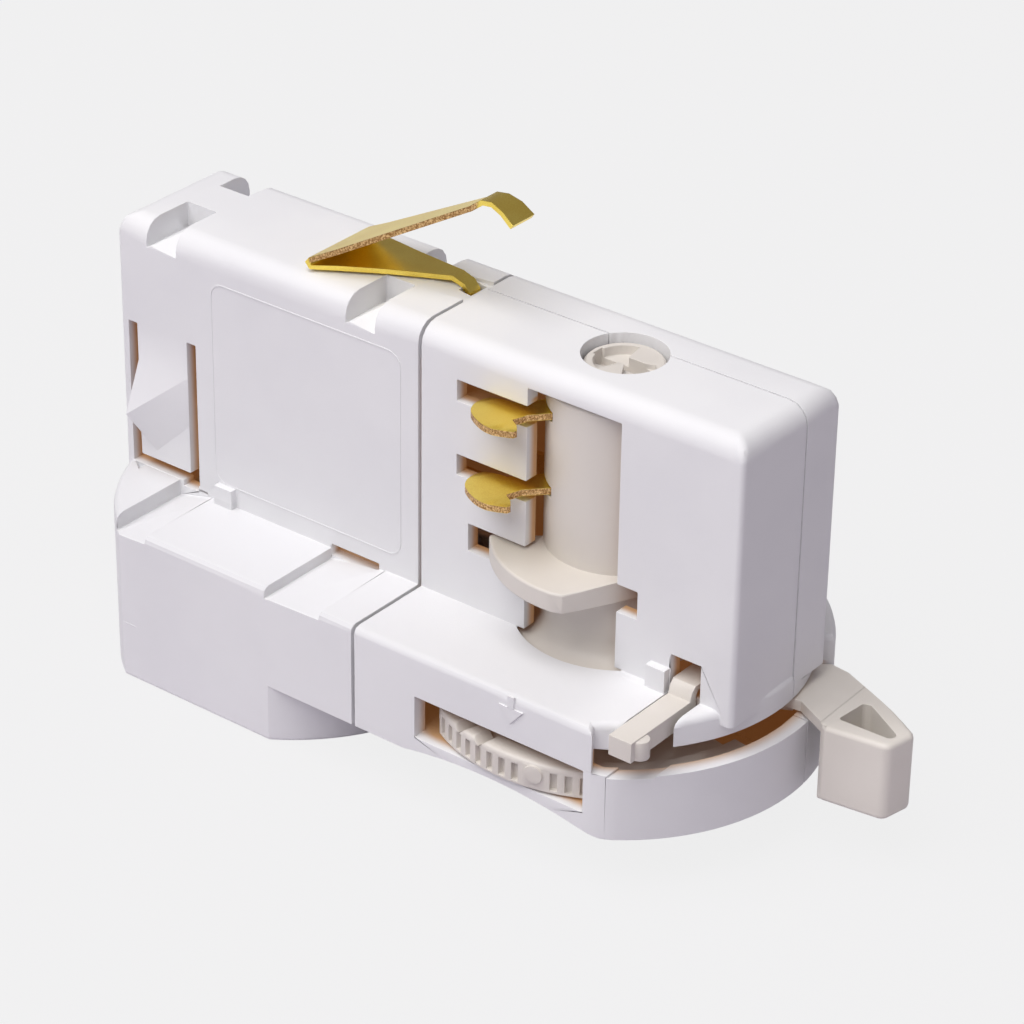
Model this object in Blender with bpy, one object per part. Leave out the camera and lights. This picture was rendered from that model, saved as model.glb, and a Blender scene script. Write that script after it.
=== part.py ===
"""Track light adapter: joins a spotlight to a three-circuit lighting track.

Sizes are in millimetres and angles in degrees. The helpers turn them into metres.
X runs along the adapter, +Y to its back and +Z up into the track.
The origin is the middle of the stem hole, on the underside of the boss.
"""

import math

import bmesh
import bpy
from mathutils import Matrix, Vector

MM = 0.001

# Gaps
SEAT_GAP = 0.3
RUNNING_GAP = 0.35
SHELL_SEAM = 0.14
HOUSING_SPLIT = 0.4

# Walls
HEAD_WALL = 1.6
END_WALL = 1.8
TOP_WALL = 1.8
END_TOP_WALL = 4.3
SKIRT_WALL = 1.7
PLATE_THICKNESS = 2.9
FLOOR_THICKNESS = 1.8

# Head, which enters the track
HEAD_WIDTH = 15.8
HEAD_HEIGHT = 29.2
HEAD_LEFT = -19.1
HEAD_ROUND = 2.2
HEAD_SIDE_ROUND = 0.6
SPLIT_X = 20.9
SEAM_Y = 2.3

# Skirt, which stays below the track
SKIRT_WIDTH = 36.6
SKIRT_DEPTH = 11.5
SKIRT_ROUND = 0.8
BOSS_DEPTH = 6.6
END_ARC = (2.1, SKIRT_WIDTH / 2 + 3.9)
BOSS_ARC = (-2.1, SKIRT_WIDTH / 2 + 3.4)
LEDGE_Z = SKIRT_DEPTH + BOSS_DEPTH
ARCH_RISE = 1.0
ARCH_START = 6.4
ARCH_END = 27.6

# Stem
STEM_HOLE = 10.2
NUT_ACROSS_FLATS = 14.0
NUT_HEIGHT = 4.0
NUT_BORE = 8.8

# Lock
LOCK_X = 39.7
DRUM_RADIUS = 7.5
SPIGOT_RADIUS = 4.0
SPIGOT_RECESS = 0.8
FLANGE_RADIUS = 9.9
FLANGE_TOP = -0.9
FLANGE_HEIGHT = 1.3
SPINDLE_RADIUS = 3.0
LOCK_SWING = 64.0
WINDOW_WIDTH = 11.1
WINDOW_TOP = HEAD_HEIGHT - 2.45
DRUM_TOP = WINDOW_TOP - RUNNING_GAP
WING_RADIUS = 12.75
WING_LOW = 6.7
WING_HEIGHT = 2.25
WING_START = -143.0
WING_END = -84.0
WING_SLOT_REACH = 12.65
WING_SLOT_GAP = 0.4

# Contact blades
BLADE_THICKNESS = 0.75
BLADE_LEVELS = {"lower": HEAD_HEIGHT - 14.1, "upper": HEAD_HEIGHT - 5.95}
BLADE_DIRECTION = -140.0
BLADE_ROOT = 3.4
BLADE_SLOT_GAP = 0.78
BLADE_SLOT_REACH = 14.15
BLADE_RELIEF = 1.15

# Lever
NOSE_RADIUS = SKIRT_WIDTH / 2 + 3.3
PLATE_RADIUS = NOSE_RADIUS - 1.8
NOSE_CORNER = 5.0
NOSE_DROP = 0.5
LEVER_SLOT_LOW = 4.75
LEVER_SLOT_START = -59.5
LEVER_SLOT_END = 29.2
LEVER_TOP = 3.2
LEVER_PLATE = 1.7
LEVER_NECK = 1.2
LEVER_HUB_RADIUS = 7.6
GRIP_HEIGHT = 8.6
GRIP_ROUND = 0.55

# Selector dial
DIAL_RADIUS = SKIRT_WIDTH / 2 + 0.6
DIAL_RIM = 2.2
DIAL_EDGE = 0.45
DIAL_TOP = 6.3
DIAL_HEIGHT = 3.0
DIAL_WEB = 0.8
DIAL_WEB_TOP = 0.9
DIAL_HUB_RADIUS = 6.2
DIAL_START = -119.0
DIAL_SPAN = 109.5
DIAL_STEP = 26.0
DIAL_MARK = -77.75
DIAL_PAD = 6.3
DIAL_PITCH = 4.6
DIAL_GROOVE = 0.55
DIAL_GROOVE_WIDTH = 0.75
DIAL_WINDOW = (-10.9, 9.8)
DIAL_WINDOW_TOP = 4.9
DIAL_WINDOW_LOW = 9.6

# Interlock
BAR_LEFT = 12.45
BAR_WIDTH = 2.65
BAR_TOP = 0.2
BAR_THICKNESS = 2.2
BAR_REACH = 18.0
BAR_STEP_TOP = 1.6
BAR_TAIL = 3.2
BAR_SIDE_GAP = 0.3
INTERLOCK_WINDOW_TOP = 4.1
SPRING_WIRE = 0.35
SPRING_RADIUS = 0.95
SPRING_SEAT_DEPTH = 1.5

# Latch tongues
TONGUE_LEFT = -16.8
TONGUE_WIDTH = 6.9
TONGUE_TOP = 17.1
TONGUE_BOTTOM = 1.85
BLOCK_END = -11.4
BLOCK_RISE = 0.6
TONGUE_SLOT = 1.2
CATCH_START = 12.9
CATCH_RIDGE = 7.4
CATCH_TIP = 2.9
CATCH_HEIGHT = 2.2

# Earth spring
LEAF_THICKNESS = 0.55
LEAF_FOLD_X = 5.1
LEAF_FOLD_SIDES = (-6.1, 3.1)
LEAF_KNEE_X = 23.4
LEAF_KNEE_HEIGHT = 11.2
LEAF_KNEE_WIDTH = 2.6
LEAF_TAIL_X = 19.1
LEAF_TAIL_Y = 2.2
LEAF_TAIL_WIDTH = 1.7
LEAF_TAIL_DROP = 5.2

# Terminals
TERMINAL_PITCH = 7.4
TERMINAL_SIZE = 4.6
TERMINAL_HEIGHT = 7.0
CARRIER_LENGTH = 22.2
CARRIER_HEIGHT = 12.0
CARRIER_FLANGE = 1.6
STRIP_THICKNESS = 0.6
STRIP_WIDTH = 2.2

# Case screws
SCREW_OFFSET = 14.0
SCREW_LEVEL = 19.55
SCREW_RADIUS = 1.1
SCREW_HEAD_RADIUS = 2.0
SCREW_HEAD_HEIGHT = 1.3
SCREW_POST_RADIUS = 2.45

FRONT, BACK = -1, 1
OUTSIDE = 5.0
HEAD_RIGHT = LOCK_X + PLATE_RADIUS - 0.3
HALF_HEAD = HEAD_WIDTH / 2
HALF_SKIRT = SKIRT_WIDTH / 2
CARRIER_BASE = LEDGE_Z - FLOOR_THICKNESS - SEAT_GAP
CARRIER_TOP = CARRIER_BASE + CARRIER_HEIGHT
END_FACE = SPLIT_X - HOUSING_SPLIT / 2
SHELL_FACE = SPLIT_X + HOUSING_SPLIT / 2


def material(name, colour, roughness, metallic=0.0):
    finish = bpy.data.materials.new(name)
    finish.use_nodes = True
    shader = finish.node_tree.nodes["Principled BSDF"]
    shader.inputs["Base Color"].default_value = (*colour, 1.0)
    shader.inputs["Roughness"].default_value = roughness
    shader.inputs["Metallic"].default_value = metallic
    finish.diffuse_color = (*colour, 1.0)
    return finish


def arc(centre, radius, start, end, steps=24):
    """Points of a round stretch, from one angle to another."""
    turns = [math.radians(start + (end - start) * step / steps) for step in range(steps + 1)]
    return [(centre[0] + radius * math.cos(turn), centre[1] + radius * math.sin(turn)) for turn in turns]


def rounded(points, radii, steps=5):
    """A closed outline with an arc of its own radius at each corner."""
    result = []
    for number, radius in enumerate(radii):
        corner = Vector(points[number])
        before = (Vector(points[number - 1]) - corner).normalized()
        after = (Vector(points[(number + 1) % len(points)]) - corner).normalized()
        if not radius:
            result.append(tuple(corner))
            continue
        half = before.angle(after) / 2
        middle = corner + (before + after).normalized() * radius / math.sin(half)
        first = corner + before * radius / math.tan(half) - middle
        last = corner + after * radius / math.tan(half) - middle
        for step in range(steps + 1):
            share = step / steps
            result.append(tuple(middle + (first * (1 - share) + last * share).normalized() * radius))
    return result


def smoothed(points, steps=3):
    """An open run of points with in-between points on a smooth curve through them."""
    ends = [points[0], *points, points[-1]]
    result = []
    for before, start, end, after in zip(ends, ends[1:], ends[2:], ends[3:]):
        for step in range(steps):
            t = step / steps
            result.append(tuple(
                0.5 * (2 * b + (c - a) * t + (2 * a - 5 * b + 4 * c - d) * t * t + (3 * b - a - 3 * c + d) * t ** 3)
                for a, b, c, d in zip(before, start, end, after)
            ))
    return result + [points[-1]]


def turned(points, angle):
    """Plan points turned about the origin."""
    c, s = math.cos(math.radians(angle)), math.sin(math.radians(angle))
    return [(x * c - y * s, x * s + y * c) for x, y in points]


def prism(outline, low, high, axis="Z"):
    """A straight solid on an outline: (x, y) along Z, (x, z) along Y or (y, z) along X."""
    order = {"Z": lambda a, b, h: (a, b, h), "Y": lambda a, b, h: (a, h, b), "X": lambda a, b, h: (h, a, b)}[axis]
    bm = bmesh.new()
    base = bm.faces.new([bm.verts.new(order(a, b, low)) for a, b in outline])
    top = bmesh.ops.extrude_face_region(bm, geom=[base])
    moved = [item for item in top["geom"] if isinstance(item, bmesh.types.BMVert)]
    bmesh.ops.translate(bm, verts=moved, vec=Vector(order(0, 0, high - low)))
    bmesh.ops.recalc_face_normals(bm, faces=bm.faces)
    return bm


def box(x, y, z):
    return prism([(x[0], y[0]), (x[1], y[0]), (x[1], y[1]), (x[0], y[1])], z[0], z[1])


def disc(radius, low, high, steps=48):
    return prism(arc((0, 0), radius, 0, 360 - 360 / steps, steps - 1), low, high)


def rod(radius, low, high, axis, centre=(0, 0), steps=24):
    return prism(arc(centre, radius, 0, 360 - 360 / steps, steps - 1), low, high, axis)


def lathe(profile, steps=56):
    """A turned solid from (radius, z) points that start and end on the axis."""
    bm = bmesh.new()
    points = [bm.verts.new((radius, 0, z)) for radius, z in profile]
    edges = [bm.edges.new(pair) for pair in zip(points, points[1:])]
    bmesh.ops.spin(
        bm,
        geom=points + edges,
        cent=(0, 0, 0),
        axis=(0, 0, 1),
        angle=math.tau,
        steps=steps,
        use_merge=True,
    )
    bmesh.ops.remove_doubles(bm, verts=bm.verts, dist=1e-4)
    bmesh.ops.recalc_face_normals(bm, faces=bm.faces)
    return bm


def round_edges(bm, radius, picked, steps=3):
    """Rounds the edges whose two ends pass the test."""
    edges = [edge for edge in bm.edges if picked(edge.verts[0].co, edge.verts[1].co)]
    bmesh.ops.bevel(bm, geom=edges, offset=radius, segments=steps, profile=0.5, affect="EDGES")
    return bm


def level(height, tolerance=1e-3):
    """A test for edges that lie at one height."""
    return lambda a, b: abs(a.z - height) < tolerance and abs(b.z - height) < tolerance


def thing(name, bm, finish=None, at=(0, 0, 0), parent=None):
    """Makes an object in metres from a mesh in millimetres. With no finish it is a cutter."""
    bm.transform(Matrix.Scale(MM, 4))
    mesh = bpy.data.meshes.new(name)
    bm.to_mesh(mesh)
    bm.free()
    mesh.shade_smooth()
    mesh.set_sharp_from_angle(angle=math.radians(28))
    obj = bpy.data.objects.new(name, mesh)
    bpy.context.scene.collection.objects.link(obj)
    obj.location = [value * MM for value in at]
    obj.parent = parent
    if finish:
        mesh.materials.append(finish)
    else:
        obj.hide_render = True
        obj.display_type = "WIRE"
    return obj


def change(obj, operation, *shapes, at=(0, 0, 0)):
    """Cuts, joins or keeps other shapes. Steps of one kind that follow each other share a Boolean."""
    step = obj.modifiers[-1] if obj.modifiers else None
    if step is None or step.type != "BOOLEAN" or step.operation != operation:
        step = obj.modifiers.new(f"{operation.lower()} {len(obj.modifiers) + 1}", "BOOLEAN")
        step.operation = operation
        step.solver = "EXACT"
        step.operand_type = "COLLECTION"
        step.collection = bpy.data.collections.new(f"{obj.name}.{step.name}")
        bpy.context.scene.collection.children.link(step.collection)
    for shape in shapes:
        if isinstance(shape, bmesh.types.BMesh):
            shape = thing(f"{step.collection.name}.{len(step.collection.objects) + 1}", shape, at=at, parent=obj.parent)
        step.collection.objects.link(shape)
    return obj


def cut(obj, *shapes, at=(0, 0, 0)):
    return change(obj, "DIFFERENCE", *shapes, at=at)


def join(obj, *shapes, at=(0, 0, 0)):
    return change(obj, "UNION", *shapes, at=at)


def axis_empty(name, at):
    empty = bpy.data.objects.new(name, None)
    bpy.context.scene.collection.objects.link(empty)
    empty.location = [value * MM for value in at]
    return empty


def half_angle(radius, half_width=HALF_SKIRT):
    """Angle at which a round end meets the straight side of the skirt."""
    return math.degrees(math.asin(half_width / radius))


def head_block(name, left, right, low, finish=None):
    """Solid head with its rim and outer corners rounded, square at the split."""
    bm = box((left, right), (-HALF_HEAD, HALF_HEAD), (low, LEDGE_Z + HEAD_HEIGHT))
    free_x = left if left < SPLIT_X - 1 else right
    weight = bm.edges.layers.float.new("bevel_weight_edge")
    for edge in bm.edges:
        first, second = (vertex.co for vertex in edge.verts)
        free = sum(abs(corner.x - free_x) < 1e-3 for corner in (first, second))
        if level(LEDGE_Z + HEAD_HEIGHT)(first, second) and free:
            edge[weight] = 1.0
        elif free == 2 and abs(first.z - second.z) > 1:
            edge[weight] = HEAD_SIDE_ROUND / HEAD_ROUND
    obj = thing(name, bm, finish)
    step = obj.modifiers.new("rounding", "BEVEL")
    step.width = HEAD_ROUND * MM
    step.segments = 4
    step.limit_method = "WEIGHT"
    step.use_clamp_overlap = False
    return obj


# End housing


def lens(inset=0.0):
    """Outline of the boss: two arcs cut off by the straight sides."""
    half = HALF_SKIRT - inset
    left, right = END_ARC[1] - inset, BOSS_ARC[1] - inset
    reach = half_angle(left, half)
    points = arc((END_ARC[0], 0), left, 180 - reach, 180 + reach, 32)
    reach = half_angle(right, half)
    return points + arc((BOSS_ARC[0], 0), right, -reach, reach, 32)


def end_outline(inset=0.0, face=END_FACE):
    """Outline of the end housing's skirt, straight at the split."""
    half, radius = HALF_SKIRT - inset, END_ARC[1] - inset
    reach = half_angle(radius, half)
    return arc((END_ARC[0], 0), radius, 180 - reach, 180 + reach, 40) + [(face, -half), (face, half)]


def tongue_slots(side):
    """The slots on both sides of a tongue and the gap below it, in one outline."""
    left, right = TONGUE_LEFT, TONGUE_LEFT + TONGUE_WIDTH
    low, foot, top = LEDGE_Z + BLOCK_RISE + 0.05, LEDGE_Z + TONGUE_BOTTOM, LEDGE_Z + TONGUE_TOP
    outline = [
        (left - TONGUE_SLOT, top),
        (left - TONGUE_SLOT, low),
        (right + TONGUE_SLOT, low),
        (right + TONGUE_SLOT, top),
        (right, top),
        (right, foot),
        (left, foot),
        (left, top),
    ]
    return prism(outline, side * (HALF_HEAD - HEAD_WALL - 1), side * (HALF_HEAD + 1), "Y")


def tongue_catch(side):
    """The catch that snaps under the track's lip: a skew pyramid, highest at the tongue's left edge."""
    left, right = TONGUE_LEFT, TONGUE_LEFT + TONGUE_WIDTH
    start, ridge, tip = (LEDGE_Z + height for height in (CATCH_START, CATCH_RIDGE, CATCH_TIP))
    face, inner = side * HALF_HEAD, side * (HALF_HEAD - HEAD_WALL / 2)
    bm = bmesh.new()
    points = [bm.verts.new((left, side * (HALF_HEAD + CATCH_HEIGHT), ridge))]
    for x, z in ((left, start), (right, start), (right, ridge), (left + 2.2, tip), (left, tip)):
        points += [bm.verts.new((x, face, z)), bm.verts.new((x, inner, z))]
    bmesh.ops.convex_hull(bm, input=points)
    bmesh.ops.recalc_face_normals(bm, faces=bm.faces)
    return bm


def groove(start, end, near, far, top, depths):
    """A groove into a level surface from its side. The four depths are those of its floor's corners."""
    corners = [(start, near), (end, near), (end, far), (start, far)]
    bm = bmesh.new()
    lower = [bm.verts.new((x, y, top - depth)) for (x, y), depth in zip(corners, depths)]
    upper = [bm.verts.new((x, y, top + OUTSIDE)) for x, y in corners]
    bm.faces.new((lower[0], lower[1], lower[2]))
    bm.faces.new((lower[0], lower[2], lower[3]))
    bm.faces.new(upper)
    for first, second in zip(range(4), (1, 2, 3, 0)):
        bm.faces.new((lower[first], lower[second], upper[second], upper[first]))
    bmesh.ops.recalc_face_normals(bm, faces=bm.faces)
    return bm


def ledge_groove(start, end, side):
    """Runs across the ledge, out to nothing at one corner by the head."""
    return groove(start, end, side * (HALF_SKIRT + 1), side * HALF_HEAD, LEDGE_Z, (1.2, 1.0, 0.05, 1.2))


def top_grooves(start, end):
    """In the head's top: the front one deep with a slit at its inner end, the back one a plain ramp."""
    top = LEDGE_Z + HEAD_HEIGHT
    front = groove(start, end, -HALF_HEAD - 1, -1.6, top, (2.9, 3.3, 0.5, 2.85))
    slit = box((start + 0.1, end - 1.1), (-2.4, -1.7), (top - END_TOP_WALL - 1, top - 1))
    return front, slit, groove(start, end, HALF_HEAD + 1, 3.2, top, (3.8, 3.8, -0.05, -0.05))


def end_housing(finish):
    """One moulding: head end with two latch tongues, skirt and the deep boss for the stem."""
    obj = head_block("end_housing", HEAD_LEFT, END_FACE, LEDGE_Z - 2, finish)
    skirt = prism(end_outline(), BOSS_DEPTH, LEDGE_Z)
    round_edges(skirt, SKIRT_ROUND, lambda a, b: level(LEDGE_Z)(a, b) and min(a.x, b.x) < END_FACE - 1e-3)
    boss = round_edges(prism(lens(), 0, BOSS_DEPTH + 2), 0.5, level(0), 2)
    reach = math.degrees(math.acos((END_ARC[0] - BLOCK_END) / END_ARC[1]))
    block = prism(arc((END_ARC[0], 0), END_ARC[1], 180 - reach, 180 + reach, 28), LEDGE_Z - 1, LEDGE_Z + BLOCK_RISE)
    round_edges(block, SKIRT_ROUND, lambda a, b: level(LEDGE_Z + BLOCK_RISE)(a, b) and min(a.x, b.x) < BLOCK_END - 1e-3)
    join(obj, skirt, boss, block)
    for side in (FRONT, BACK):
        across = sorted((side * (HALF_HEAD - 0.5), side * (HALF_HEAD + 0.8)))
        join(obj, tongue_catch(side), box((-6.0, -3.6), across, (LEDGE_Z - 0.5, LEDGE_Z + 2.2)))
    ceiling = LEDGE_Z + HEAD_HEIGHT - END_TOP_WALL
    inner = HALF_HEAD - HEAD_WALL
    head_room = box((HEAD_LEFT + END_WALL, SPLIT_X + OUTSIDE), (-inner, inner), (LEDGE_Z + 0.05, ceiling))
    carrier_way = box((-CARRIER_LENGTH / 2, SPLIT_X + OUTSIDE), (-inner, inner), (LEDGE_Z - 4, LEDGE_Z + 1))
    skirt_room = prism(
        end_outline(SKIRT_WALL, SPLIT_X + OUTSIDE), BOSS_DEPTH + FLOOR_THICKNESS, LEDGE_Z - FLOOR_THICKNESS
    )
    boss_room = prism(lens(SKIRT_WALL), FLOOR_THICKNESS, BOSS_DEPTH + FLOOR_THICKNESS + 1)
    cut(obj, head_room, carrier_way, skirt_room, boss_room, disc(STEM_HOLE / 2, -1, FLOOR_THICKNESS + 1))
    for side in (FRONT, BACK):
        cut(obj, tongue_slots(side), ledge_groove(-11.4, -6.9, side), ledge_groove(9.3, 16.5, side))
    cut(obj, *top_grooves(-15.0, -11.0), *top_grooves(11.5, 15.2))
    tail = LEAF_TAIL_WIDTH / 2
    top = LEDGE_Z + HEAD_HEIGHT
    across = (LEAF_TAIL_Y - tail - 0.4, LEAF_TAIL_Y + tail + 0.4)
    leaf_slot = box((LEAF_TAIL_X - 0.5, LEAF_TAIL_X + LEAF_THICKNESS + 0.5), across, (ceiling - 1, top + OUTSIDE))
    left, right = LEAF_TAIL_X - 3.0, SPLIT_X + 1
    seat = [(left - 0.6, -1.9, top + 0.05), (right, -0.7, top - 0.7), (right, 4.0, top - 0.7), (left + 0.4, 3.3, top - 0.2)]
    leaf_seat = bmesh.new()
    for x, y, z in seat:
        leaf_seat.verts.new((x, y, z))
        leaf_seat.verts.new((x, y, top + OUTSIDE))
    bmesh.ops.convex_hull(leaf_seat, input=list(leaf_seat.verts))
    bmesh.ops.recalc_face_normals(leaf_seat, faces=leaf_seat.faces)
    return cut(obj, leaf_slot, leaf_seat)


# Right housing


def shell_outline(inset=0.0, face=SHELL_FACE):
    half, radius = HALF_SKIRT - inset, NOSE_RADIUS - inset
    reach = half_angle(radius, half)
    points = [(face, -half)] + arc((LOCK_X, 0), radius, -reach, reach, 44) + [(face, half)]
    radii = [0.0] * len(points)
    if not inset:
        radii[1] = radii[-2] = NOSE_CORNER
        del points[2], points[-3], radii[2], radii[-3]
    return rounded(points, radii, 4)


def plate_outline():
    """Outline above the lever slot: the rim steps in where the lever swings."""
    corner = HALF_SKIRT / math.tan(math.radians(-LEVER_SLOT_START))
    reach = half_angle(NOSE_RADIUS)
    return (
        [(SHELL_FACE, -HALF_SKIRT), (LOCK_X + corner, -HALF_SKIRT)]
        + arc((LOCK_X, 0), PLATE_RADIUS, LEVER_SLOT_START, LEVER_SLOT_END, 28)
        + arc((LOCK_X, 0), NOSE_RADIUS, LEVER_SLOT_END, reach, 8)
        + [(SHELL_FACE, HALF_SKIRT)]
    )


def side_profile():
    """Side view of the right housing's skirt, whose underside arches between its ends."""
    low = BOSS_DEPTH
    middle, half = (ARCH_START + ARCH_END) / 2 + SPLIT_X, (ARCH_END - ARCH_START) / 2
    radius = (half * half + ARCH_RISE * ARCH_RISE) / (2 * ARCH_RISE)
    swing = math.degrees(math.asin(half / radius))
    centre = (middle, low + ARCH_RISE - radius)
    right = LOCK_X + NOSE_RADIUS + OUTSIDE
    return (
        [(SPLIT_X - 1, LEDGE_Z + 1), (SPLIT_X - 1, low)]
        + arc(centre, radius, 90 + swing, 90 - swing, 20)
        + [(SPLIT_X + ARCH_END + 2.8, low - NOSE_DROP), (right, low - NOSE_DROP), (right, LEDGE_Z + 1)]
    )


def sector(radius, start, end, low, high):
    return prism([(0, 0)] + arc((0, 0), radius, start, end, 40), low, high)


def blade_slot_height(level_z):
    return (LEDGE_Z + level_z - BLADE_SLOT_GAP, LEDGE_Z + level_z + BLADE_THICKNESS + BLADE_SLOT_GAP)


def side_openings(side):
    """Cuts through a side wall: drum window, two blade slots, wing slot. The back's are the front's turned half round."""
    outer, inner = HALF_HEAD + 0.6, HALF_HEAD - HEAD_WALL - 1
    span = sorted((side * outer, side * inner))
    half = WINDOW_WIDTH / 2

    def across(left, right):
        return sorted((-side * left, -side * right))

    shapes = [box(across(-half, half), span, (LEDGE_Z - 0.9, LEDGE_Z + WINDOW_TOP))]
    for height in BLADE_LEVELS.values():
        shapes.append(box(across(-BLADE_SLOT_REACH, 0.5 - half), span, blade_slot_height(height)))
    wing = (LEDGE_Z + WING_LOW - WING_SLOT_GAP, LEDGE_Z + WING_LOW + WING_HEIGHT + WING_SLOT_GAP)
    shapes.append(box(across(-WING_SLOT_REACH, half + 2.45), span, wing))
    return shapes


def blade_reliefs():
    """Pockets inside the walls for the blade heads when they are swung in."""
    shapes = []
    inner = HALF_HEAD - HEAD_WALL
    for height in BLADE_LEVELS.values():
        for side in (FRONT, BACK):
            along = sorted((-side * 6.5, -side * 13.8))
            depth = sorted((side * (inner - 1), side * (inner + BLADE_RELIEF)))
            shapes.append(box(along, depth, blade_slot_height(height)))
    return shapes


def screw_posts():
    """Posts across the head that the case screws run into."""
    inner = HALF_HEAD - HEAD_WALL
    places = [(offset, LEDGE_Z + SCREW_LEVEL) for offset in (-SCREW_OFFSET, SCREW_OFFSET)]
    return [rod(SCREW_POST_RADIUS, -inner - 1, inner + 1, "Y", place) for place in places]


def screw_holes(side):
    """Blind pilot holes in the front posts; clearance holes and head recesses in the back ones."""
    shapes = []
    for offset in (-SCREW_OFFSET, SCREW_OFFSET):
        place = (offset, LEDGE_Z + SCREW_LEVEL)
        if side == FRONT:
            shapes.append(rod(SCREW_RADIUS + 0.1, HEAD_WALL + 1 - HALF_HEAD, SEAM_Y + 1, "Y", place, 16))
            continue
        depth = HALF_HEAD - SCREW_HEAD_HEIGHT - 0.4
        shapes.append(rod(SCREW_RADIUS + 0.3, SEAM_Y - 1, HALF_HEAD - 1, "Y", place, 16))
        shapes.append(rod(SCREW_HEAD_RADIUS + 0.3, depth, HALF_HEAD + 1, "Y", place))
    return shapes


def drum_pockets():
    """Round pocket in the ledge for the drum's foot: full circle below, its two outer parts above."""
    reach = FLANGE_RADIUS + SEAT_GAP
    swing = half_angle(reach, HALF_HEAD + 0.02)
    shapes = [disc(reach, LEDGE_Z - PLATE_THICKNESS - 1, LEDGE_Z)]
    for start, end in ((-180 + swing, -swing), (swing, 180 - swing)):
        shapes.append(prism(arc((0, 0), reach, start, end, 24), LEDGE_Z - 1, LEDGE_Z + 0.2))
    return shapes


def front_details():
    """Dial window, interlock groove and window."""
    left, right = BAR_LEFT - BAR_SIDE_GAP, BAR_LEFT + BAR_WIDTH + BAR_SIDE_GAP + 0.3
    inner = HALF_HEAD - HEAD_WALL
    dial_wall = (-HALF_SKIRT - 1, SKIRT_WALL - HALF_SKIRT + 1)
    return [
        box(DIAL_WINDOW, dial_wall, (LEDGE_Z - DIAL_WINDOW_LOW, LEDGE_Z - DIAL_WINDOW_TOP)),
        box((left, right), (-HALF_SKIRT - 4, 0.6 - HALF_HEAD), (LEDGE_Z - OUTSIDE, LEDGE_Z + 0.5)),
        box((left, right), (-HALF_HEAD - 1, 1 - inner), (LEDGE_Z, LEDGE_Z + INTERLOCK_WINDOW_TOP)),
    ]


def housing_half(name, finish, side):
    """The front or back shell: the whole right housing, cut at the seam."""
    about = (LOCK_X, 0, 0)
    low, underside = BOSS_DEPTH - NOSE_DROP, LEDGE_Z - PLATE_THICKNESS
    obj = thing(name, prism(shell_outline(), low, LEDGE_Z - LEVER_SLOT_LOW), finish)
    plate = prism(plate_outline(), LEDGE_Z - LEVER_SLOT_LOW, LEDGE_Z)
    join(obj, round_edges(plate, SKIRT_ROUND, lambda a, b: level(LEDGE_Z)(a, b) and max(a.x, b.x) > SHELL_FACE + 1e-3))
    change(obj, "INTERSECT", prism(side_profile(), -HALF_SKIRT - 1, HALF_SKIRT + 1, "Y"))
    join(obj, head_block(f"{name}.head", SHELL_FACE, HEAD_RIGHT, LEDGE_Z - 1.5))
    if side == FRONT:
        tab = box((9.8, 12.1), (-HALF_HEAD - 0.9, 0.5 - HALF_HEAD), (LEDGE_Z - 0.8, LEDGE_Z + 2.5))
        join(obj, tab, at=about)
    head_room = box(
        (SPLIT_X - 1, HEAD_RIGHT - END_WALL),
        (HEAD_WALL - HALF_HEAD, HALF_HEAD - HEAD_WALL),
        (LEDGE_Z, LEDGE_Z + HEAD_HEIGHT - TOP_WALL),
    )
    head_room = thing(f"{name}.room", head_room)
    cut(head_room, *screw_posts(), at=about)
    skirt_room = prism(shell_outline(SKIRT_WALL, SPLIT_X - 1), LEDGE_Z - DIAL_WINDOW_LOW, underside)
    wire_way = box((SPLIT_X - 1, LOCK_X - FLANGE_RADIUS - 1), (-5, 5), (underside - 1, LEDGE_Z + 1))
    ends = (SEAM_Y - SHELL_SEAM / 2, HALF_SKIRT + 5) if side == FRONT else (-HALF_SKIRT - 5, SEAM_Y + SHELL_SEAM / 2)
    other_side = box((SPLIT_X - 2, LOCK_X + 40), ends, (-1, LEDGE_Z + 60))
    cut(obj, skirt_room, head_room, wire_way, other_side)
    cut(
        obj,
        sector(NOSE_RADIUS + 2, LEVER_SLOT_START, LEVER_SLOT_END, LEDGE_Z - LEVER_SLOT_LOW, underside),
        disc(SPIGOT_RADIUS + SEAT_GAP, LEDGE_Z + HEAD_HEIGHT - TOP_WALL - 1, LEDGE_Z + HEAD_HEIGHT + 1),
        disc(SPINDLE_RADIUS + SEAT_GAP, low - 1, LEDGE_Z - DIAL_WINDOW_LOW + 1, 32),
        *drum_pockets(),
        *blade_reliefs(),
        *screw_holes(side),
        *side_openings(side),
        at=about,
    )
    if side == FRONT:
        cut(obj, *front_details(), at=about)
        centre = (LOCK_X + BAR_LEFT + BAR_WIDTH / 2, -BAR_TAIL - 1.2, 0)
        cut(obj, disc(SPRING_RADIUS + 0.45, LEDGE_Z - SPRING_SEAT_DEPTH, LEDGE_Z + 0.5, 20), at=centre)
    return obj


# Lock


def wing_outline():
    """Quarter-moon wing: a round outer edge, a straight leading edge nearly tangent to the drum."""
    start = turned([(DRUM_RADIUS - 1, 0)], WING_START)
    rim = arc((0, 0), WING_RADIUS, WING_START, WING_END, 20)
    corner = [(2.35, 0.45 - WING_RADIUS), (2.95, 1.45 - WING_RADIUS)]
    return start + rim + corner + [(6.1, -4.9), (2.0, 0)]


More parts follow.
